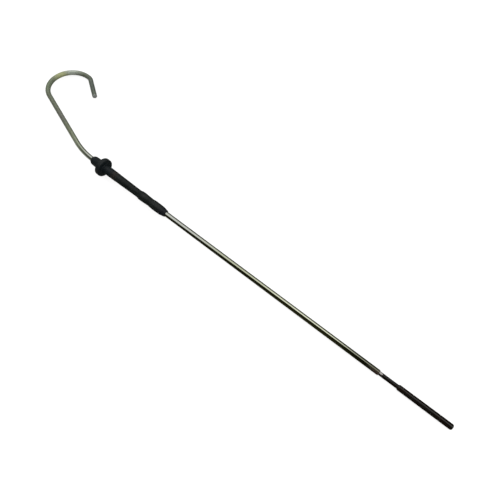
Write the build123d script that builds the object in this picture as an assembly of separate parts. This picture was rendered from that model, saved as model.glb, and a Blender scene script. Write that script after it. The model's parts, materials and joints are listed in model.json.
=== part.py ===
# Engine oil dipstick: a steel wire rod bent into a pull hook at its top, a moulded rubber stopper
# with a flange and two sealing lips, and a moulded gauge tip on the rod's lower end.
# Everything is drawn straight along X, with the flange's seat at X = 0 and the tip towards +X.
# The whole is then laid down as it comes to rest: on the flange's rim, the tip's end and the hook.

import os
from math import asin, atan, cos, degrees, sin

from build123d import *

# Steel rod and pull hook, with bend radii to the wire's centre line
wire_d = 5.0
rod_len = 315.4  # from the flange's seat to the shoulder at the rod's lower end
wire_above_collar = 1.0  # straight wire between the collar's top and the first bend
neck_bend_r = 79.0
neck_bend_turn = 19.5
shank_len = 72.0
loop_r = 23.75
loop_turn = 167.0
corner_r = 7.5
corner_turn = 27.0
leg_len = 25.5
hook_end_round = 0.7
shoulder_break = 0.3
spigot_d = 3.7
spigot_len = 2.8  # bare steel that shows between the rod's shoulder and the tip's neck
pin_d = 2.2
pin_len = 10.0
pin_break = 0.4

# Rubber stopper, from its collar down to its nose
grip_gap = 0.02  # radial gap between the moulded bores and the steel in them
collar_len = 12.5
collar_mouth_d = 6.6
collar_top_d = 9.2
collar_root_d = 9.8
collar_dome = 2.3
collar_round = 1.6
collar_fillet = 1.0
flange_d = 18.6
flange_t = 4.5
flange_round = 0.9
seat_fillet = 0.8
band_root_d = 8.95
band_end_d = 8.7
band_len = 17.0
band_step = 0.12
band_step_len = 0.5
ring_from_seat = 11.6
ring_w = 1.2
ring_depth = 0.22
barrel_end_d = 7.65
barrel_len = 28.7
lip_d = 9.0  # both sealing lips, which wipe the bore of the guide tube
upper_shoulder_len = 2.4
upper_land_len = 3.7
upper_runout_len = 8.4
valley_d = 8.15
lower_rise_len = 4.9
lower_land_len = 3.4
lower_runout_len = 6.4
runout_end_d = 8.6
nose_len = 5.3
nose_mouth_d = 6.4
lip_round = 1.0
runout_round = 4.0
nose_round = 2.6
mouth_round = 0.5

# Plastic gauge tip
neck_d = 3.72
neck_len = 14.9
cone_len = 1.2
body_top_d = 5.1
body_end_d = 5.25
body_len = 49.4
neck_fillet = 0.3
body_round = 0.4
tip_round = 1.2
pin_room = 0.5  # air left past the pin's end
full_mark = 37.0  # level marks, from the tip's end
low_mark = 12.0
mark_w = 0.8
mark_depth = 0.25


def turned(corners):
    # Solid of revolution about X from (x, radius, rounding) corners, listed round its half section.
    points = [(x, radius) for x, radius, _ in corners]
    roundings = [rounding for _, _, rounding in corners]
    outline = FilletPolyline(*points, radius=roundings, close=True)
    return revolve(make_face(outline), Axis.X)


def ring_groove(x_mid, width, depth, surface_r):
    # Round-bottomed ring that is cut from a turned surface of about this radius.
    arc_r = (width**2 / 4 + depth**2) / (2 * depth)
    section = Pos(x_mid, surface_r - depth + arc_r) * Circle(arc_r)
    return revolve(section, Axis.X)


def between(start, end, share):
    return start + (end - start) * share


wire_r = wire_d / 2
collar_top_x = -flange_t - collar_len
bend_x = collar_top_x - wire_above_collar

# Centre line of the wire: down to up along the rod, then clockwise round the hook.
rod_line = Line((rod_len, 0), (bend_x, 0))
neck_bend = JernArc(rod_line @ 1, rod_line % 1, neck_bend_r, -neck_bend_turn)
shank = Line(neck_bend @ 1, neck_bend @ 1 + shank_len * (neck_bend % 1))
loop = JernArc(shank @ 1, shank % 1, loop_r, -loop_turn)
corner = JernArc(loop @ 1, loop % 1, corner_r, -corner_turn)
leg = Line(corner @ 1, corner @ 1 + leg_len * (corner % 1))
centre_line = Wire([rod_line.edge(), neck_bend.edge(), shank.edge(), loop.edge(), corner.edge(), leg.edge()])

wire_section = Plane(rod_line @ 0, z_dir=rod_line % 0) * Circle(wire_r)
wire = sweep(wire_section, path=centre_line)
wire_ends = wire.faces().filter_by(GeomType.PLANE)
hook_end = wire_ends.sort_by_distance(leg @ 1)[0]
wire = fillet(hook_end.edges(), hook_end_round)
rod_shoulder = wire.faces().filter_by(GeomType.PLANE).sort_by(Axis.X)[-1]
wire = chamfer(rod_shoulder.edges(), shoulder_break)

# Spigot and pin at the rod's lower end.
spigot_end_x = rod_len + spigot_len
pin_end_x = spigot_end_x + pin_len
lower_end = turned(
    [
        (rod_len, 0, 0),
        (rod_len, spigot_d / 2, 0),
        (spigot_end_x, spigot_d / 2, 0),
        (spigot_end_x, pin_d / 2, 0),
        (pin_end_x - pin_break, pin_d / 2, 0),
        (pin_end_x, pin_d / 2 - pin_break, 0),
        (pin_end_x, 0, 0),
    ]
)
rod = wire + lower_end

# Stopper: stations along the axis, then its half section.
band_x = band_len
barrel_x = band_x + barrel_len
upper_land_x = barrel_x + upper_shoulder_len
upper_runout_x = upper_land_x + upper_land_len
valley_x = upper_runout_x + upper_runout_len
lower_land_x = valley_x + lower_rise_len
lower_runout_x = lower_land_x + lower_land_len
nose_x = lower_runout_x + lower_runout_len
nose_end_x = nose_x + nose_len
bore_r = wire_r + grip_gap
lip_r = lip_d / 2
stopper = turned(
    [
        (collar_top_x, bore_r, 0),
        (collar_top_x, collar_mouth_d / 2, mouth_round),
        (collar_top_x + collar_dome, collar_top_d / 2, collar_round),
        (-flange_t, collar_root_d / 2, collar_fillet),
        (-flange_t, flange_d / 2, flange_round),
        (0, flange_d / 2, flange_round),
        (0, band_root_d / 2, seat_fillet),
        (band_x, band_end_d / 2, 0),
        (band_x + band_step_len, band_end_d / 2 - band_step, 0),
        (barrel_x, barrel_end_d / 2, lip_round),
        (upper_land_x, lip_r, lip_round),
        (upper_runout_x, lip_r, runout_round),
        (valley_x, valley_d / 2, runout_round),
        (lower_land_x, lip_r, runout_round),
        (lower_runout_x, lip_r, runout_round),
        (nose_x, runout_end_d / 2, nose_round),
        (nose_end_x, nose_mouth_d / 2, mouth_round),
        (nose_end_x, bore_r, 0),
    ]
)
ring_r = between(band_root_d, band_end_d, ring_from_seat / band_len) / 2
stopper -= ring_groove(ring_from_seat, ring_w, ring_depth, ring_r)

# Gauge tip: its neck butts on the spigot's end, and the pin fills its blind bore.
neck_end_x = spigot_end_x + neck_len
body_x = neck_end_x + cone_len
tip_end_x = body_x + body_len
tip_bore_r = pin_d / 2 + grip_gap
gauge_tip = turned(
    [
        (spigot_end_x, tip_bore_r, 0),
        (spigot_end_x, neck_d / 2, 0),
        (neck_end_x, neck_d / 2, neck_fillet),
        (body_x, body_top_d / 2, body_round),
        (tip_end_x, body_end_d / 2, tip_round),
        (tip_end_x, 0, 0),
        (pin_end_x + pin_room, 0, 0),
        (pin_end_x + pin_room, tip_bore_r, 0),
    ]
)
for mark in (full_mark, low_mark):
    mark_r = between(body_end_d, body_top_d, mark / body_len) / 2
    gauge_tip -= ring_groove(tip_end_x - mark, mark_w, mark_depth, mark_r)

# Rest: the axis slopes from the flange's rim down to the tip's end, and the hook drops to the floor.
rim_x = -flange_round
slope = atan((flange_d - body_end_d) / 2 / (tip_end_x - tip_round - rim_x))
crest = loop.arc_center + Vector(0, loop_r)
axis_over_crest = flange_d / 2 + (rim_x - crest.X) * sin(slope)
drop = asin((axis_over_crest - wire_r) / (crest.Y * cos(slope)))
lie = Rot(Y=degrees(slope)) * Rot(X=-degrees(drop))

pieces = {"rod": rod, "stopper": stopper, "gauge_tip": gauge_tip}
lying = {name: lie * piece for name, piece in pieces.items()}
box = Compound(children=[Part(piece.wrapped) for piece in lying.values()]).bounding_box()
to_floor = Pos(-box.center().X, -box.center().Y, -box.min.Z)

os.makedirs("parts", exist_ok=True)
for name, piece in lying.items():
    export_step(to_floor * piece, f"parts/{name}.step")
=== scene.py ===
import cmath
import json
import math

import bpy
from mathutils import Matrix, Vector


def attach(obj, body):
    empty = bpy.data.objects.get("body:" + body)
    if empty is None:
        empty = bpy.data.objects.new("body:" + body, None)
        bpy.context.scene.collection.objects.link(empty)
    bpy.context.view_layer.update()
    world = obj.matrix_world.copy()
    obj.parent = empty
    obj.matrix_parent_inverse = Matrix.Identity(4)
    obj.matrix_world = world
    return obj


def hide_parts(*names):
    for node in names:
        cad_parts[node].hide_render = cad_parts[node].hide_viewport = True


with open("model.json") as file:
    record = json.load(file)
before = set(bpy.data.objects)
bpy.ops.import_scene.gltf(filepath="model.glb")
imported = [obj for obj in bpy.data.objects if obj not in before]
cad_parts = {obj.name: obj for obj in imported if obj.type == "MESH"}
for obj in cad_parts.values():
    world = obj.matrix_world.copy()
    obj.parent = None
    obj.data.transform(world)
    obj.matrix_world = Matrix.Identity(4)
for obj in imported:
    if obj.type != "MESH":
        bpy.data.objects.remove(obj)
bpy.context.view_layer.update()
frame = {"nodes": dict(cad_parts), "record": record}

mm = 0.001
print("frame loaded:", ", ".join(sorted(frame["nodes"])))


# How the straight dipstick lies on the floor: its axis from the plug mount, its hook dropped to the floor

lay = {
    "plugX": 66.855,      # the plug mount's place along the axis, from the flange's seat
    "hookDrop": 6.612,    # degrees that the hook is turned down about the axis
}


def layDown():
    plug = frame["record"]["mounts"][0]
    axis = Vector(plug["axis"]).normalized()
    slope = math.atan2(-axis.z, axis.x)
    turned = Matrix.Rotation(slope, 4, "Y") @ Matrix.Rotation(-math.radians(lay["hookDrop"]), 4, "X")
    seat = Vector(plug["pos_m"]) - axis * lay["plugX"] * mm
    return Matrix.Translation(seat) @ turned


# Modelling by hand: an open ring of edges that is pulled, sized and bent along a piece

class Rim:
    def __init__(self, name, sides, x, radius, heading, capped):
        bpy.ops.object.select_all(action="DESELECT")
        bpy.ops.mesh.primitive_circle_add(
            vertices=sides, radius=radius * mm, fill_type="NGON" if capped else "NOTHING",
            location=(x * mm, 0, 0), rotation=(0, math.pi / 2, 0))
        self.piece = bpy.context.object
        self.piece.name = name
        self.piece.data.name = name
        bpy.ops.object.transform_apply(location=True, rotation=True, scale=True)
        bpy.ops.object.mode_set(mode="EDIT")
        bpy.ops.mesh.select_mode(type="EDGE")
        bpy.ops.mesh.select_all(action="SELECT")
        if capped:
            bpy.ops.mesh.region_to_loop()   # only the disc's edge is pulled, so the disc stays as the cap
        self.place = Vector((x * mm, 0, 0))
        self.heading = Vector(heading)
        self.radius = radius * mm
        self.runs = []

    def size(self, radius):
        share = radius * mm / self.radius
        if not math.isclose(share, 1):
            bpy.ops.transform.resize(value=(share, share, share), center_override=self.place)
            self.radius = radius * mm

    def pull(self, length, radius, steps=1):
        start = self.place.copy()
        for _ in range(steps):
            step = self.heading * length * mm / steps
            bpy.ops.mesh.extrude_region_move(TRANSFORM_OT_translate={"value": step})
            self.place = self.place + step
            self.size(radius)
        self.runs.append({"start": start, "heading": self.heading.copy(), "length": length * mm, "bendR": 0})

    def bend(self, bendR, turn, steps):
        angle = math.radians(turn)
        toCentre = Vector((self.heading.y, -self.heading.x, 0))
        centre = self.place + toCentre * bendR * mm
        self.runs.append({"start": self.place.copy(), "heading": self.heading.copy(),
                          "length": bendR * mm * angle, "bendR": bendR * mm, "centre": centre})
        bpy.ops.mesh.spin(steps=steps, angle=angle, center=centre, axis=(0, 0, 1))
        swing = Matrix.Rotation(-angle, 3, "Z")
        self.place = centre + swing @ (self.place - centre)
        self.heading = swing @ self.heading

    def follow(self, stations):
        for x, radius in stations:
            self.pull((x * mm - self.place.x) / self.heading.x / mm, radius)

    def close(self):
        bpy.ops.mesh.edge_face_add()

    def finish(self):
        bpy.ops.mesh.select_all(action="SELECT")
        bpy.ops.mesh.normals_make_consistent(inside=False)
        bpy.ops.object.mode_set(mode="OBJECT")
        return self.piece


def roundedStations(corners, stepDegrees=12):
    # (x, radius, rounding) corners to (x, radius) stations, with an arc at each rounded corner
    points = [complex(x, radius) for x, radius, _ in corners]
    stations = []
    for index, (x, radius, rounding) in enumerate(corners):
        here = points[index]
        if not rounding:
            stations.append((x, radius))
            continue
        before = points[index - 1] - here
        after = points[index + 1] - here
        before /= abs(before)
        after /= abs(after)
        half = abs(cmath.phase(after / before)) / 2
        centre = here + (before + after) / abs(before + after) * rounding / math.sin(half)
        arm = here + before * rounding / math.tan(half) - centre
        turn = math.pi - 2 * half
        side = 1 if cmath.phase(after / before) < 0 else -1
        steps = max(2, math.ceil(turn / math.radians(stepDegrees)))
        for step in range(steps + 1):
            spot = centre + arm * cmath.exp(1j * side * turn * step / steps)
            stations.append((spot.real, spot.imag))
    return stations


def grooveStations(xMid, width, depth, radius, steps=8):
    # corners of a round-bottomed ring groove
    arcR = (width**2 / 4 + depth**2) / (2 * depth)
    corners = []
    for step in range(steps + 1):
        x = width * (step / steps - 0.5)
        corners.append((xMid + x, radius - depth + arcR - math.sqrt(arcR**2 - x**2), 0))
    return corners


def standFor(piece, node, material, creaseDegrees=35):
    # lays a straight piece down, applies its place and puts it on the CAD node's body
    bpy.ops.object.select_all(action="DESELECT")
    piece.select_set(True)
    bpy.context.view_layer.objects.active = piece
    piece.matrix_world = layDown()
    bpy.ops.object.transform_apply(location=True, rotation=True, scale=True)
    bpy.ops.object.shade_smooth_by_angle(angle=math.radians(creaseDegrees))
    piece.data.materials.clear()
    piece.data.materials.append(material)
    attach(piece, "root")
    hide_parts(node)
    print(piece.name, "stands for", node, "with", len(piece.data.polygons), "faces")


# Shader maths: a socket that can be added, multiplied and so on

class Sock:
    def __init__(self, tree, socket=None):
        self.tree = tree
        self.socket = socket

    def make(self, kind, settings=None, inputs=None, out=0):
        node = self.tree.nodes.new(kind)
        for key, value in (settings or {}).items():
            setattr(node, key, value)
        for key, value in (inputs or {}).items():
            if isinstance(value, Sock):
                self.tree.links.new(value.socket, node.inputs[key])
            else:
                node.inputs[key].default_value = value
        return Sock(self.tree, node.outputs[out] if node.outputs else None)

    def calc(self, operation, first, second):
        return self.make("ShaderNodeMath", {"operation": operation}, {0: first, 1: second})

    def __add__(self, other):
        return self.calc("ADD", self, other)

    def __radd__(self, other):
        return self.calc("ADD", other, self)

    def __sub__(self, other):
        return self.calc("SUBTRACT", self, other)

    def __rsub__(self, other):
        return self.calc("SUBTRACT", other, self)

    def __mul__(self, other):
        return self.calc("MULTIPLY", self, other)

    def __rmul__(self, other):
        return self.calc("MULTIPLY", other, self)

    def part(self, axis):
        return self.make("ShaderNodeSeparateXYZ", None, {0: self}, axis)

    def stretched(self, x, y, z):
        return self.make("ShaderNodeVectorMath", {"operation": "MULTIPLY"}, {0: self, 1: (x, y, z)})

    def fromAxis(self):
        # distance from the X axis
        across = self.stretched(0, 1, 1)
        return self.make("ShaderNodeVectorMath", {"operation": "LENGTH"}, {0: across}, "Value")

    def noise(self, scale, detail=3.0, roughness=0.55):
        return self.make("ShaderNodeTexNoise", None,
                         {"Vector": self, "Scale": scale, "Detail": detail, "Roughness": roughness})

    def lines(self, scales, detail=3.0, roughness=0.55):
        # noise that is drawn out along the axis with the smallest scale
        return self.stretched(*scales).noise(1.0, detail, roughness)

    def facing(self, x, y, z):
        # how far a direction leans towards this one
        way = Vector((x, y, z)).normalized()
        return self.make("ShaderNodeVectorMath", {"operation": "DOT_PRODUCT"}, {0: self, 1: way}, "Value")

    def rise(self, low, high):
        # 0 below low, 1 above high, smooth between
        return self.make("ShaderNodeMapRange", {"interpolation_type": "SMOOTHSTEP"},
                         {"Value": self, "From Min": low, "From Max": high})

    def hump(self, at, reach):
        # 1 at a place, fading to 0 within reach on both sides
        return 1 - self.make("ShaderNodeMath", {"operation": "ABSOLUTE"}, {0: self - at}).rise(0.0, reach)

    def blend(self, first, second):
        # value between two values, by this share
        return self.make("ShaderNodeMix", None, {0: self, 2: first, 3: second})

    def tint(self, first, second):
        # colour between two colours, by this share
        return self.make("ShaderNodeMix", {"data_type": "RGBA"}, {0: self, 6: first, 7: second}, 2)

    def specks(self, base, colour, share, limits):
        # a share of a colour over the base, where this noise is high
        return (share * self.rise(*limits)).tint(base, colour)

    def bump(self, strength, distance):
        # this height as a normal, with the distance in metres
        return self.make("ShaderNodeBump", None, {"Strength": strength, "Distance": distance, "Height": self})


def startMaterial(name):
    material = bpy.data.materials.new(name)
    material.use_nodes = True
    material.node_tree.nodes.clear()
    return material, Sock(material.node_tree)


def straightPlace(start):
    # object coordinates turned back to the straight dipstick: X along the axis from the flange's seat
    lying = layDown()
    return start.make("ShaderNodeMapping", {"vector_type": "TEXTURE"}, {
        "Vector": start.make("ShaderNodeTexCoord", None, None, "Object"),
        "Location": lying.to_translation(), "Rotation": lying.to_euler()})


def endMaterial(start, inputs):
    shader = start.make("ShaderNodeBsdfPrincipled", None, inputs)
    start.make("ShaderNodeOutputMaterial", None, {"Surface": shader})


# Rod and pull hook: one length of plated wire

rodSet = {
    # shape in mm, with X from the flange's seat
    "wire": 5.0, "sides": 48,
    "shoulderX": 315.4, "shoulderBreak": 0.3,
    "spigot": 3.7, "spigotLen": 2.8,
    "pin": 2.2, "pinLen": 10.0, "pinBreak": 0.4,
    "bendX": -18.0, "straightSteps": 48,
    "neckBendR": 79.0, "neckTurn": 19.5, "neckSteps": 8,
    "shankLen": 72.0, "shankSteps": 12,
    "loopR": 23.75, "loopTurn": 167.0, "loopSteps": 56,
    "cornerR": 7.5, "cornerTurn": 27.0, "cornerSteps": 9,
    "legLen": 25.5, "legSteps": 5, "endRound": 0.7, "endSteps": 6,
    # noises of the finish: scale, detail, roughness
    "patches": ((40, 160, 160), 3.0),
    "mottle": ((420, 640, 640), 4.0, 0.65),
    "pitting": (1500.0, 3.0, 0.65),
    "drawing": ((26, 2600, 2600), 3.0),       # drawing lines along the wire
    "scratches": ((90, 5200, 5200), 2.0),
    "wander": 0.016,                          # how far the patches move each border
    # plating on the rod from the collar down, with places in metres along the unbent wire
    "neck": (0.36, 0.39, 0.29, 1), "neckTo": (-0.046, -0.012),
    "grey": (0.51, 0.52, 0.485, 1),
    "olive": (0.48, 0.495, 0.365, 1), "oliveFrom": (0.105, 0.165),
    "clear": (0.80, 0.815, 0.64, 1), "clearFrom": (0.165, 0.240),
    "oily": (0.235, 0.24, 0.18, 1), "oilyFrom": (0.258, 0.310),
    "streaks": ((0.13, 0.135, 0.09, 1), 0.45, (0.50, 0.70)),
    "rodPits": ((0.044, 0.048, 0.034, 1), 0.35, (0.60, 0.68)),
    # stain and bare steel at its lower end, less stain on the hook's side; the bare steel is light on the
    # hook's side and has painted shade on the other side
    "sideLean": 0.4,
    "brown": (0.060, 0.024, 0.020, 1), "brownFrom": (0.304, 0.313), "blotch": 0.012,
    "stainShare": (0.95, 0.30), "stainSide": (-0.0010, 0.0012), "stainBreaks": (0.25, 0.55),
    "bare": (0.64, 0.60, 0.59, 1), "bareFrom": (0.3152, 0.3154),
    # film: near-black painted shade on the bare steel's side away from the hook
    "film": (0.02, 0.014, 0.012, 1), "shadeSide": (-0.0008, 0.0008),
    # the hook: dull plating, white oxide, pits and the cut end
    "hookTo": (-0.062, -0.030),
    "dull": (0.106, 0.117, 0.085, 1),
    "oxide": ((0.225, 0.238, 0.210, 1), 0.40, (0.56, 0.70)),
    "hookPits": ((0.044, 0.048, 0.034, 1), 0.55, (0.54, 0.66)),
    "cut": (0.20, 0.21, 0.20, 1), "cutTo": (-0.2149, -0.2143),
    # tarnish and wear on the hook, and a painted highlight at the loop's top: place along the wire, reach,
    # colour
    "tarnishAndHighlight": (
        (-0.202, 0.030, (0.069, 0.082, 0.070, 1)),
        # worn spot at the loop's top, made light as a painted highlight
        (-0.165, 0.014, (0.300, 0.327, 0.285, 1)),
        (-0.151, 0.013, (0.232, 0.243, 0.125, 1)),
        (-0.130, 0.018, (0.112, 0.134, 0.088, 1)),
        (-0.082, 0.014, (0.105, 0.105, 0.090, 1)),
        (-0.058, 0.016, (0.120, 0.132, 0.088, 1)),
    ),
    # surface: the hook's own value, then what mottle or drawing lines add
    "hookMetal": 0.65, "stainDulls": 0.15,
    "hookRough": (0.24, 0.26), "rodRough": (0.05, 0.10), "stainRough": 0.20, "bareRough": 0.15,
    "hookLines": 0.2, "rodLines": 0.4, "rodScratches": 0.2, "bump": (0.3, 0.00005),
}


def makeRod():
    s = rodSet
    wireR = s["wire"] / 2
    spigotEndX = s["shoulderX"] + s["spigotLen"]
    pinEndX = spigotEndX + s["pinLen"]
    rim = Rim("plated_rod", s["sides"], pinEndX, s["pin"] / 2 - s["pinBreak"], (-1, 0, 0), True)
    rim.follow([
        (pinEndX - s["pinBreak"], s["pin"] / 2),
        (spigotEndX, s["pin"] / 2),
        (spigotEndX, s["spigot"] / 2),
        (s["shoulderX"], s["spigot"] / 2),
        (s["shoulderX"], wireR - s["shoulderBreak"]),
        (s["shoulderX"] - s["shoulderBreak"], wireR),
    ])
    rim.pull(s["shoulderX"] - s["shoulderBreak"] - s["bendX"], wireR, s["straightSteps"])
    rim.bend(s["neckBendR"], s["neckTurn"], s["neckSteps"])
    rim.pull(s["shankLen"], wireR, s["shankSteps"])
    rim.bend(s["loopR"], s["loopTurn"], s["loopSteps"])
    rim.bend(s["cornerR"], s["cornerTurn"], s["cornerSteps"])
    rim.pull(s["legLen"] - s["endRound"], wireR, s["legSteps"])
    for step in range(1, s["endSteps"] + 1):
        last = math.pi / 2 * (step - 1) / s["endSteps"]
        now = math.pi / 2 * step / s["endSteps"]
        onward = s["endRound"] * (math.sin(now) - math.sin(last))
        rim.pull(onward, wireR - s["endRound"] * (1 - math.cos(now)))
    rim.close()
    piece = rim.finish()
    keepUnbent(piece, rim.runs, pinEndX)
    return piece


def keepUnbent(piece, runs, startX):
    # each point's place on the wire if it were pulled straight along X, so that the finish follows the bends
    attribute = piece.data.attributes.new("unbent", "FLOAT_VECTOR", "POINT")
    slack = 1e-6
    for index, vertex in enumerate(piece.data.vertices):
        fromX = startX * mm
        for run in runs:
            if run["bendR"]:
                arm = vertex.co - run["centre"]
                arm.z = 0
                startArm = run["start"] - run["centre"]
                along = startArm.angle(arm) * run["bendR"]
                turnedOn = startArm.cross(arm).z < slack * slack
                side = run["bendR"] - arm.length
            else:
                along = (vertex.co - run["start"]).dot(run["heading"])
                turnedOn = True
                side = (vertex.co - run["start"]).dot(Vector((run["heading"].y, -run["heading"].x, 0)))
            onRun = turnedOn and -slack < along < run["length"] + slack
            if onRun and abs(side) < rodSet["wire"] * mm:
                attribute.data[index].vector = (fromX - along, side, vertex.co.z)
                break
            fromX -= run["length"]
        else:
            print("no place on the wire for", vertex.co)


def platedWire():
    s = rodSet
    material, start = startMaterial("aged_zinc_plating")
    place = start.make("ShaderNodeAttribute", {"attribute_name": "unbent"}, None, "Vector")
    x = place.part("X")
    patches = place.lines(*s["patches"])
    mottle = place.lines(*s["mottle"])
    pitted = place.noise(*s["pitting"])
    drawn = place.lines(*s["drawing"])
    scratched = place.lines(*s["scratches"])
    wander = x + s["wander"] * (patches - 0.5)
    bright = wander.rise(*s["hookTo"])   # 0 on the hook, 1 on the rod

    rod = x.rise(*s["neckTo"]).tint(s["neck"], s["grey"])
    rod = wander.rise(*s["oliveFrom"]).tint(rod, s["olive"])
    rod = wander.rise(*s["clearFrom"]).tint(rod, s["clear"])
    rod = wander.rise(*s["oilyFrom"]).tint(rod, s["oily"])
    rod = drawn.specks(rod, *s["streaks"])
    rod = pitted.specks(rod, *s["rodPits"])

    hook = s["dull"]
    for at, reach, tarnishAndHighlight in s["tarnishAndHighlight"]:
        hook = wander.hump(at, reach).tint(hook, tarnishAndHighlight)
    hook = mottle.specks(hook, *s["oxide"])
    hook = pitted.specks(hook, *s["hookPits"])
    hook = x.rise(*s["cutTo"]).tint(s["cut"], hook)

    colour = bright.tint(hook, rod)
    hookSide = place.part("Y") + s["sideLean"] * place.part("Z")
    blotched = wander + s["blotch"] * (mottle - 0.5) + s["blotch"] * (pitted - 0.5)
    stain = blotched.rise(*s["brownFrom"]) * hookSide.rise(*s["stainSide"]).blend(*s["stainShare"])
    stain = stain * pitted.rise(*s["stainBreaks"])
    colour = stain.tint(colour, s["brown"])
    bare = x.rise(*s["bareFrom"])
    steel = hookSide.rise(*s["shadeSide"]).tint(s["film"], s["bare"])   # painted shade: near-black on the side away from the hook, bare steel on the lit side
    colour = bare.tint(colour, steel)

    hookBase, hookAdds = s["hookRough"]
    rodBase, rodAdds = s["rodRough"]
    rodRough = rodBase + rodAdds * drawn + s["stainRough"] * stain + s["bareRough"] * bare
    rodHeight = s["rodLines"] * drawn + s["rodScratches"] * scratched
    height = bright.blend(s["hookLines"] * drawn - pitted, rodHeight)
    endMaterial(start, {
        "Base Color": colour,
        "Metallic": bright.blend(s["hookMetal"], 1 - s["stainDulls"] * stain),
        "Roughness": bright.blend(hookBase + hookAdds * mottle, rodRough),
        "Normal": height.bump(*s["bump"]),
    })
    return material


# Stopper: one rubber moulding, turned about the axis

stopperSet = {
    # shape in mm, with X from the flange's seat
    "sides": 96, "boreR": 2.52,
    "collarTopX": -17.0, "collarMouth": 6.6, "collarTop": 9.2, "collarRoot": 9.8, "collarDome": 2.3,
    "collarRound": 1.6, "collarFillet": 1.0,
    "flange": 18.6, "flangeT": 4.5, "flangeRound": 0.9, "seatFillet": 0.8,
    "bandRoot": 8.95, "bandEnd": 8.7, "bandLen": 17.0, "bandStep": 0.12, "bandStepLen": 0.5,
    "ringX": 11.6, "ringW": 1.2, "ringDepth": 0.22,
    "barrelEnd": 7.65, "barrelLen": 28.7,
    "lip": 9.0, "upperShoulder": 2.4, "upperLand": 3.7, "upperRunout": 8.4,
    "valley": 8.15, "lowerRise": 4.9, "lowerLand": 3.4, "lowerRunout": 6.4, "runoutEnd": 8.6,
    "noseLen": 5.3, "noseMouth": 6.4,
    "lipRound": 1.0, "runoutRound": 4.0, "noseRound": 2.6, "mouthRound": 0.5,
    # noises of the finish: scale, detail, roughness
    "cloud": (160.0, 4.0),
    "dusting": (1100.0, 3.0, 0.65),
    "grain": (2600.0, 2.0),
    "scuffs": ((150, 1500, 1500), 3.0),
    # rubber, with places in metres along the axis
    "black": (0.0010, 0.0017, 0.0016, 1),
    "bloom": (0.0027, 0.0035, 0.0033, 1), "bloomAt": (0.3, 0.7),
    "blue": (0.0014, 0.0025, 0.0032, 1), "blueTo": (0.009, 0.015),
    "violet": (0.0020, 0.0024, 0.0038, 1), "violetFrom": (0.070, 0.077),
    "dust": ((0.0068, 0.0080, 0.0076, 1), 0.4, (0.56, 0.70)),
    "rust": (0.011, 0.0062, 0.0045, 1), "rustAt": (0.0140, 0.005),
    "rustSpecks": (0.48, 0.56), "rustCloud": (0.4, 0.5),
    # where it rubs: the flange's rim and the lips' crowns, by distance from the axis
    "worn": (0.0046, 0.0054, 0.0052, 1), "wornAt": (0.35, 0.7),
    "rimR": (0.0086, 0.0092), "crownR": (0.0042, 0.00448), "crownFrom": (0.049, 0.054),
    # surface
    "rough": 0.42, "cloudRough": 0.15, "wornSmooth": 0.08, "specular": 0.24,
    "scuffHeight": 0.5, "bump": (0.35, 0.00008),
}


def makeStopper():
    s = stopperSet
    top = s["collarTopX"]
    flangeTop = -s["flangeT"]
    lipR = s["lip"] / 2
    bandX = s["bandLen"]
    barrelX = bandX + s["barrelLen"]
    upperX = barrelX + s["upperShoulder"]
    upperEndX = upperX + s["upperLand"]
    valleyX = upperEndX + s["upperRunout"]
    lowerX = valleyX + s["lowerRise"]
    lowerEndX = lowerX + s["lowerLand"]
    noseX = lowerEndX + s["lowerRunout"]
    endX = noseX + s["noseLen"]
    ringR = (s["bandRoot"] + (s["bandEnd"] - s["bandRoot"]) * s["ringX"] / bandX) / 2
    corners = [
        (top, s["boreR"], 0),
        (top, s["collarMouth"] / 2, s["mouthRound"]),
        (top + s["collarDome"], s["collarTop"] / 2, s["collarRound"]),
        (flangeTop, s["collarRoot"] / 2, s["collarFillet"]),
        (flangeTop, s["flange"] / 2, s["flangeRound"]),
        (0, s["flange"] / 2, s["flangeRound"]),
        (0, s["bandRoot"] / 2, s["seatFillet"]),
        *grooveStations(s["ringX"], s["ringW"], s["ringDepth"], ringR),
        (bandX, s["bandEnd"] / 2, 0),
        (bandX + s["bandStepLen"], s["bandEnd"] / 2 - s["bandStep"], 0),
        (barrelX, s["barrelEnd"] / 2, s["lipRound"]),
        (upperX, lipR, s["lipRound"]),
        (upperEndX, lipR, s["runoutRound"]),
        (valleyX, s["valley"] / 2, s["runoutRound"]),
        (lowerX, lipR, s["runoutRound"]),
        (lowerEndX, lipR, s["runoutRound"]),
        (noseX, s["runoutEnd"] / 2, s["noseRound"]),
        (endX, s["noseMouth"] / 2, s["mouthRound"]),
        (endX, s["boreR"], 0),
    ]
    stations = roundedStations(corners)
    rim = Rim("rubber_stopper", s["sides"], top, s["boreR"], (1, 0, 0), False)
    rim.follow(stations[1:])
    bpy.ops.mesh.select_all(action="DESELECT")
    bpy.ops.mesh.select_non_manifold()
    bpy.ops.mesh.bridge_edge_loops()   # the bore, from end to end
    return rim.finish()


def blackRubber():
    s = stopperSet
    material, start = startMaterial("black_rubber")
    place = straightPlace(start)
    x = place.part("X")
    r = place.fromAxis()
    cloud = place.noise(*s["cloud"])
    dusting = place.noise(*s["dusting"])
    grain = place.noise(*s["grain"])
    scuffs = place.lines(*s["scuffs"])

    colour = cloud.rise(*s["bloomAt"]).tint(s["black"], s["bloom"])
    colour = x.rise(*s["blueTo"]).tint(s["blue"], colour)
    colour = x.rise(*s["violetFrom"]).tint(colour, s["violet"])
    worn = r.rise(*s["rimR"]) + x.rise(*s["crownFrom"]) * r.rise(*s["crownR"])
    colour = (worn * scuffs.rise(*s["wornAt"])).tint(colour, s["worn"])
    colour = dusting.specks(colour, *s["dust"])
    rusty = dusting.rise(*s["rustSpecks"]) * cloud.rise(*s["rustCloud"]) * x.hump(*s["rustAt"])
    colour = rusty.tint(colour, s["rust"])

    height = grain + s["scuffHeight"] * scuffs
    endMaterial(start, {
        "Base Color": colour,
        "Roughness": s["rough"] + s["cloudRough"] * cloud - s["wornSmooth"] * worn,
        "Normal": height.bump(*s["bump"]),
        "Specular IOR Level": s["specular"],
    })
    return material


# Gauge tip: one plastic moulding on the rod's pin

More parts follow.
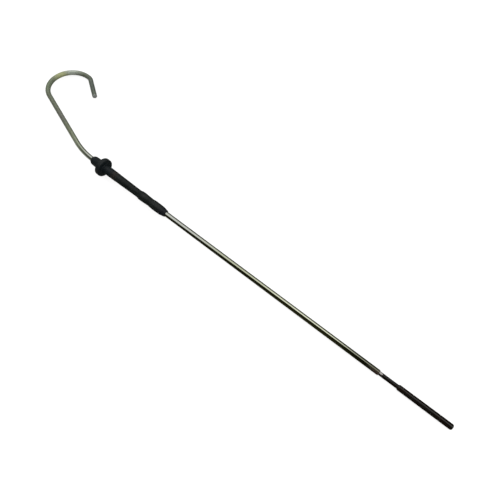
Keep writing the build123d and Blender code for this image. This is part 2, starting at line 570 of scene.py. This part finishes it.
tipSet = {
    # shape in mm, with X from the flange's seat and the marks from the tip's end
    "sides": 48, "startX": 318.2, "boreR": 1.12, "boreLen": 10.5,
    "neck": 3.72, "neckLen": 14.9, "coneLen": 1.2,
    "bodyTop": 5.1, "bodyEnd": 5.25, "bodyLen": 49.4,
    "neckFillet": 0.3, "bodyRound": 0.4, "endRound": 1.2, "endDiscR": 0.3,
    "marks": (37.0, 12.0), "markW": 0.8, "markDepth": 0.25,
    # noises of the finish: scale, detail
    "film": ((60, 420, 420), 4.0),         # oil that ran along the tip
    "scuffs": ((110, 2600, 2600), 3.0),
    # plastic, with places in metres along the axis
    "black": (0.0016, 0.0013, 0.0011, 1),
    "oil": (0.0040, 0.0020, 0.0014, 1), "oilAt": (0.4, 0.7),
    "scuff": (0.0200, 0.0172, 0.0160, 1), "scuffAt": (0.60, 0.72),
    "wetFrom": (0.345, 0.372), "scuffShare": (0.60, 0.20), "wetSmooth": 0.6,
    # surface: dry and oiled roughness
    "rough": (0.24, 0.05), "roughAt": (0.46, 0.54), "scuffRough": 0.10, "specular": 0.43,
    "filmHeight": 0.5, "bump": (0.25, 0.00004),
}


def makeTip():
    s = tipSet
    neckX = s["startX"] + s["neckLen"]
    bodyX = neckX + s["coneLen"]
    endX = bodyX + s["bodyLen"]
    corners = [
        (s["startX"], s["boreR"], 0),
        (s["startX"], s["neck"] / 2, 0),
        (neckX, s["neck"] / 2, s["neckFillet"]),
        (bodyX, s["bodyTop"] / 2, s["bodyRound"]),
    ]
    for mark in s["marks"]:
        radius = (s["bodyEnd"] + (s["bodyTop"] - s["bodyEnd"]) * mark / s["bodyLen"]) / 2
        corners += grooveStations(endX - mark, s["markW"], s["markDepth"], radius)
    corners += [(endX, s["bodyEnd"] / 2, s["endRound"]), (endX, s["endDiscR"], 0)]
    rim = Rim("gauge_tip_moulding", s["sides"], s["startX"] + s["boreLen"], s["boreR"], (1, 0, 0), True)
    rim.follow(roundedStations(corners))
    rim.close()
    return rim.finish()


def oiledPlastic():
    s = tipSet
    material, start = startMaterial("oil_stained_plastic")
    place = straightPlace(start)
    film = place.lines(*s["film"])
    scuffs = place.lines(*s["scuffs"])
    wet = place.part("X").rise(*s["wetFrom"])   # the end that was last in the oil

    colour = film.rise(*s["oilAt"]).tint(s["black"], s["oil"])
    scuffed = wet.blend(*s["scuffShare"]) * scuffs.rise(*s["scuffAt"])
    colour = scuffed.tint(colour, s["scuff"])

    rough = film.rise(*s["roughAt"]).blend(*s["rough"]) + s["scuffRough"] * scuffs
    height = scuffs + s["filmHeight"] * film
    endMaterial(start, {
        "Base Color": colour,
        "Roughness": (1 - s["wetSmooth"] * wet) * rough,
        "Normal": height.bump(*s["bump"]),
        "Specular IOR Level": s["specular"],
    })
    return material


standFor(makeRod(), "rod", platedWire())
standFor(makeStopper(), "stopper", blackRubber())
standFor(makeTip(), "gauge_tip", oiledPlastic())


# Pale floor, soft light and the camera

stageSet = {
    "floorSize": 12.0, "floorColour": (0.11, 0.11, 0.11, 1), "floorGlow": 0.80,
    "floorGrain": 8.0, "floorRough": (0.7, 0.1),
    # suns that only light, as the steel mirrors the studio: place, turn and spread in degrees, power
    "dome": ((0, 0, 2), (-12, 0, 0), 150, 7.0),      # from behind the hook
    "fill": ((2, 0, 1), (0, 60, 0), 90, 1.4),
    # what the steel mirrors: a window overhead, a grey wall behind, a dark front and the floor
    "window": (1.08, 1.09, 1.06, 1),
    "windowEdges": (((-1.5, 1, -0.15), 0.05), ((0.8, 1, -0.34), 0.06),   # its near side, bent at the tip
                    ((-0.5, -1, 1.01), 0.08), ((2.8, 1, 2.13), 0.1)),
    "back": (0.26, 0.27, 0.25, 1), "backWay": (-1, 0.7, 0), "backFrom": (0.15, 0.75),
    "front": (0.014, 0.014, 0.006, 1),
    "left": (0.15, 0.165, 0.13, 1), "leftFrom": (0.45, 0.75),
    "right": (0.42, 0.43, 0.40, 1), "rightFrom": (0.42, 0.65),
    "below": (0.035, 0.035, 0.018, 1), "belowTo": (-0.05, 0.05),
    "belowLeft": (0.50, 0.52, 0.47, 1), "belowRight": (0.20, 0.20, 0.17, 1),
    "backdrop": (1.0, 1.0, 1.0, 1),
}
cameraSet = {
    "lens": 30.24, "sensor": 36.0, "clipStart": 0.01,
    "place": (0.1250, -0.12535, 0.3642), "target": (0.0367, -0.01155, 0.0),
}


def makeFloor():
    s = stageSet
    bpy.ops.object.select_all(action="DESELECT")
    bpy.ops.mesh.primitive_plane_add(size=s["floorSize"])
    floor = bpy.context.object
    floor.name = "pale_floor"
    material, start = startMaterial("pale_floor")
    place = start.make("ShaderNodeTexCoord", None, None, "Object")
    rough, roughAdds = s["floorRough"]
    endMaterial(start, {
        "Base Color": s["floorColour"],
        "Roughness": rough + roughAdds * place.noise(s["floorGrain"]),
        "Emission Color": (1.0, 1.0, 1.0, 1),
        "Emission Strength": s["floorGlow"],
    })
    floor.data.materials.append(material)
    floor.visible_glossy = False


def makeSun(name, place, turn, spread, power):
    bpy.ops.object.light_add(type="SUN", location=place, rotation=[math.radians(angle) for angle in turn])
    sun = bpy.context.object
    sun.name = name
    sun.data.angle = math.radians(spread)
    sun.data.energy = power
    sun.visible_glossy = False


def makeStudio():
    s = stageSet
    world = bpy.data.worlds.new("studio")
    world.use_nodes = True
    world.node_tree.nodes.clear()
    start = Sock(world.node_tree)
    ray = start.make("ShaderNodeTexCoord", None, None, "Generated")
    near, bent, far, side = [ray.facing(*way).rise(-soft, soft) for way, soft in s["windowEdges"]]
    window = near.calc("MAXIMUM", near, bent) * far * side
    left = ray.facing(-1, 0, 0).rise(*s["leftFrom"])
    right = ray.facing(1, 0, 0).rise(*s["rightFrom"])
    front = right.tint(left.tint(s["front"], s["left"]), s["right"])
    back = ray.facing(*s["backWay"]).rise(*s["backFrom"])
    room = window.tint(back.tint(front, s["back"]), s["window"])
    below = right.tint(left.tint(s["below"], s["belowLeft"]), s["belowRight"])
    room = ray.part("Z").rise(*s["belowTo"]).tint(below, room)
    seen = start.make("ShaderNodeLightPath", None, None, "Is Camera Ray")
    sky = start.make("ShaderNodeBackground", None, {"Color": seen.tint(room, s["backdrop"])})
    start.make("ShaderNodeOutputWorld", None, {"Surface": sky})
    bpy.context.scene.world = world


def makeCamera():
    s = cameraSet
    bpy.ops.object.camera_add(location=s["place"])
    camera = bpy.context.object
    camera.data.lens = s["lens"]
    camera.data.sensor_width = s["sensor"]
    camera.data.clip_start = s["clipStart"]
    look = Vector(s["target"]) - Vector(s["place"])
    camera.rotation_euler = look.to_track_quat("-Z", "Y").to_euler()
    bpy.context.scene.camera = camera


makeFloor()
makeSun("soft_dome", *stageSet["dome"])
makeSun("soft_fill", *stageSet["fill"])
makeStudio()
print("floor, lights and studio set")
makeCamera()
bpy.context.scene.view_settings.view_transform = "Standard"
print("camera set")
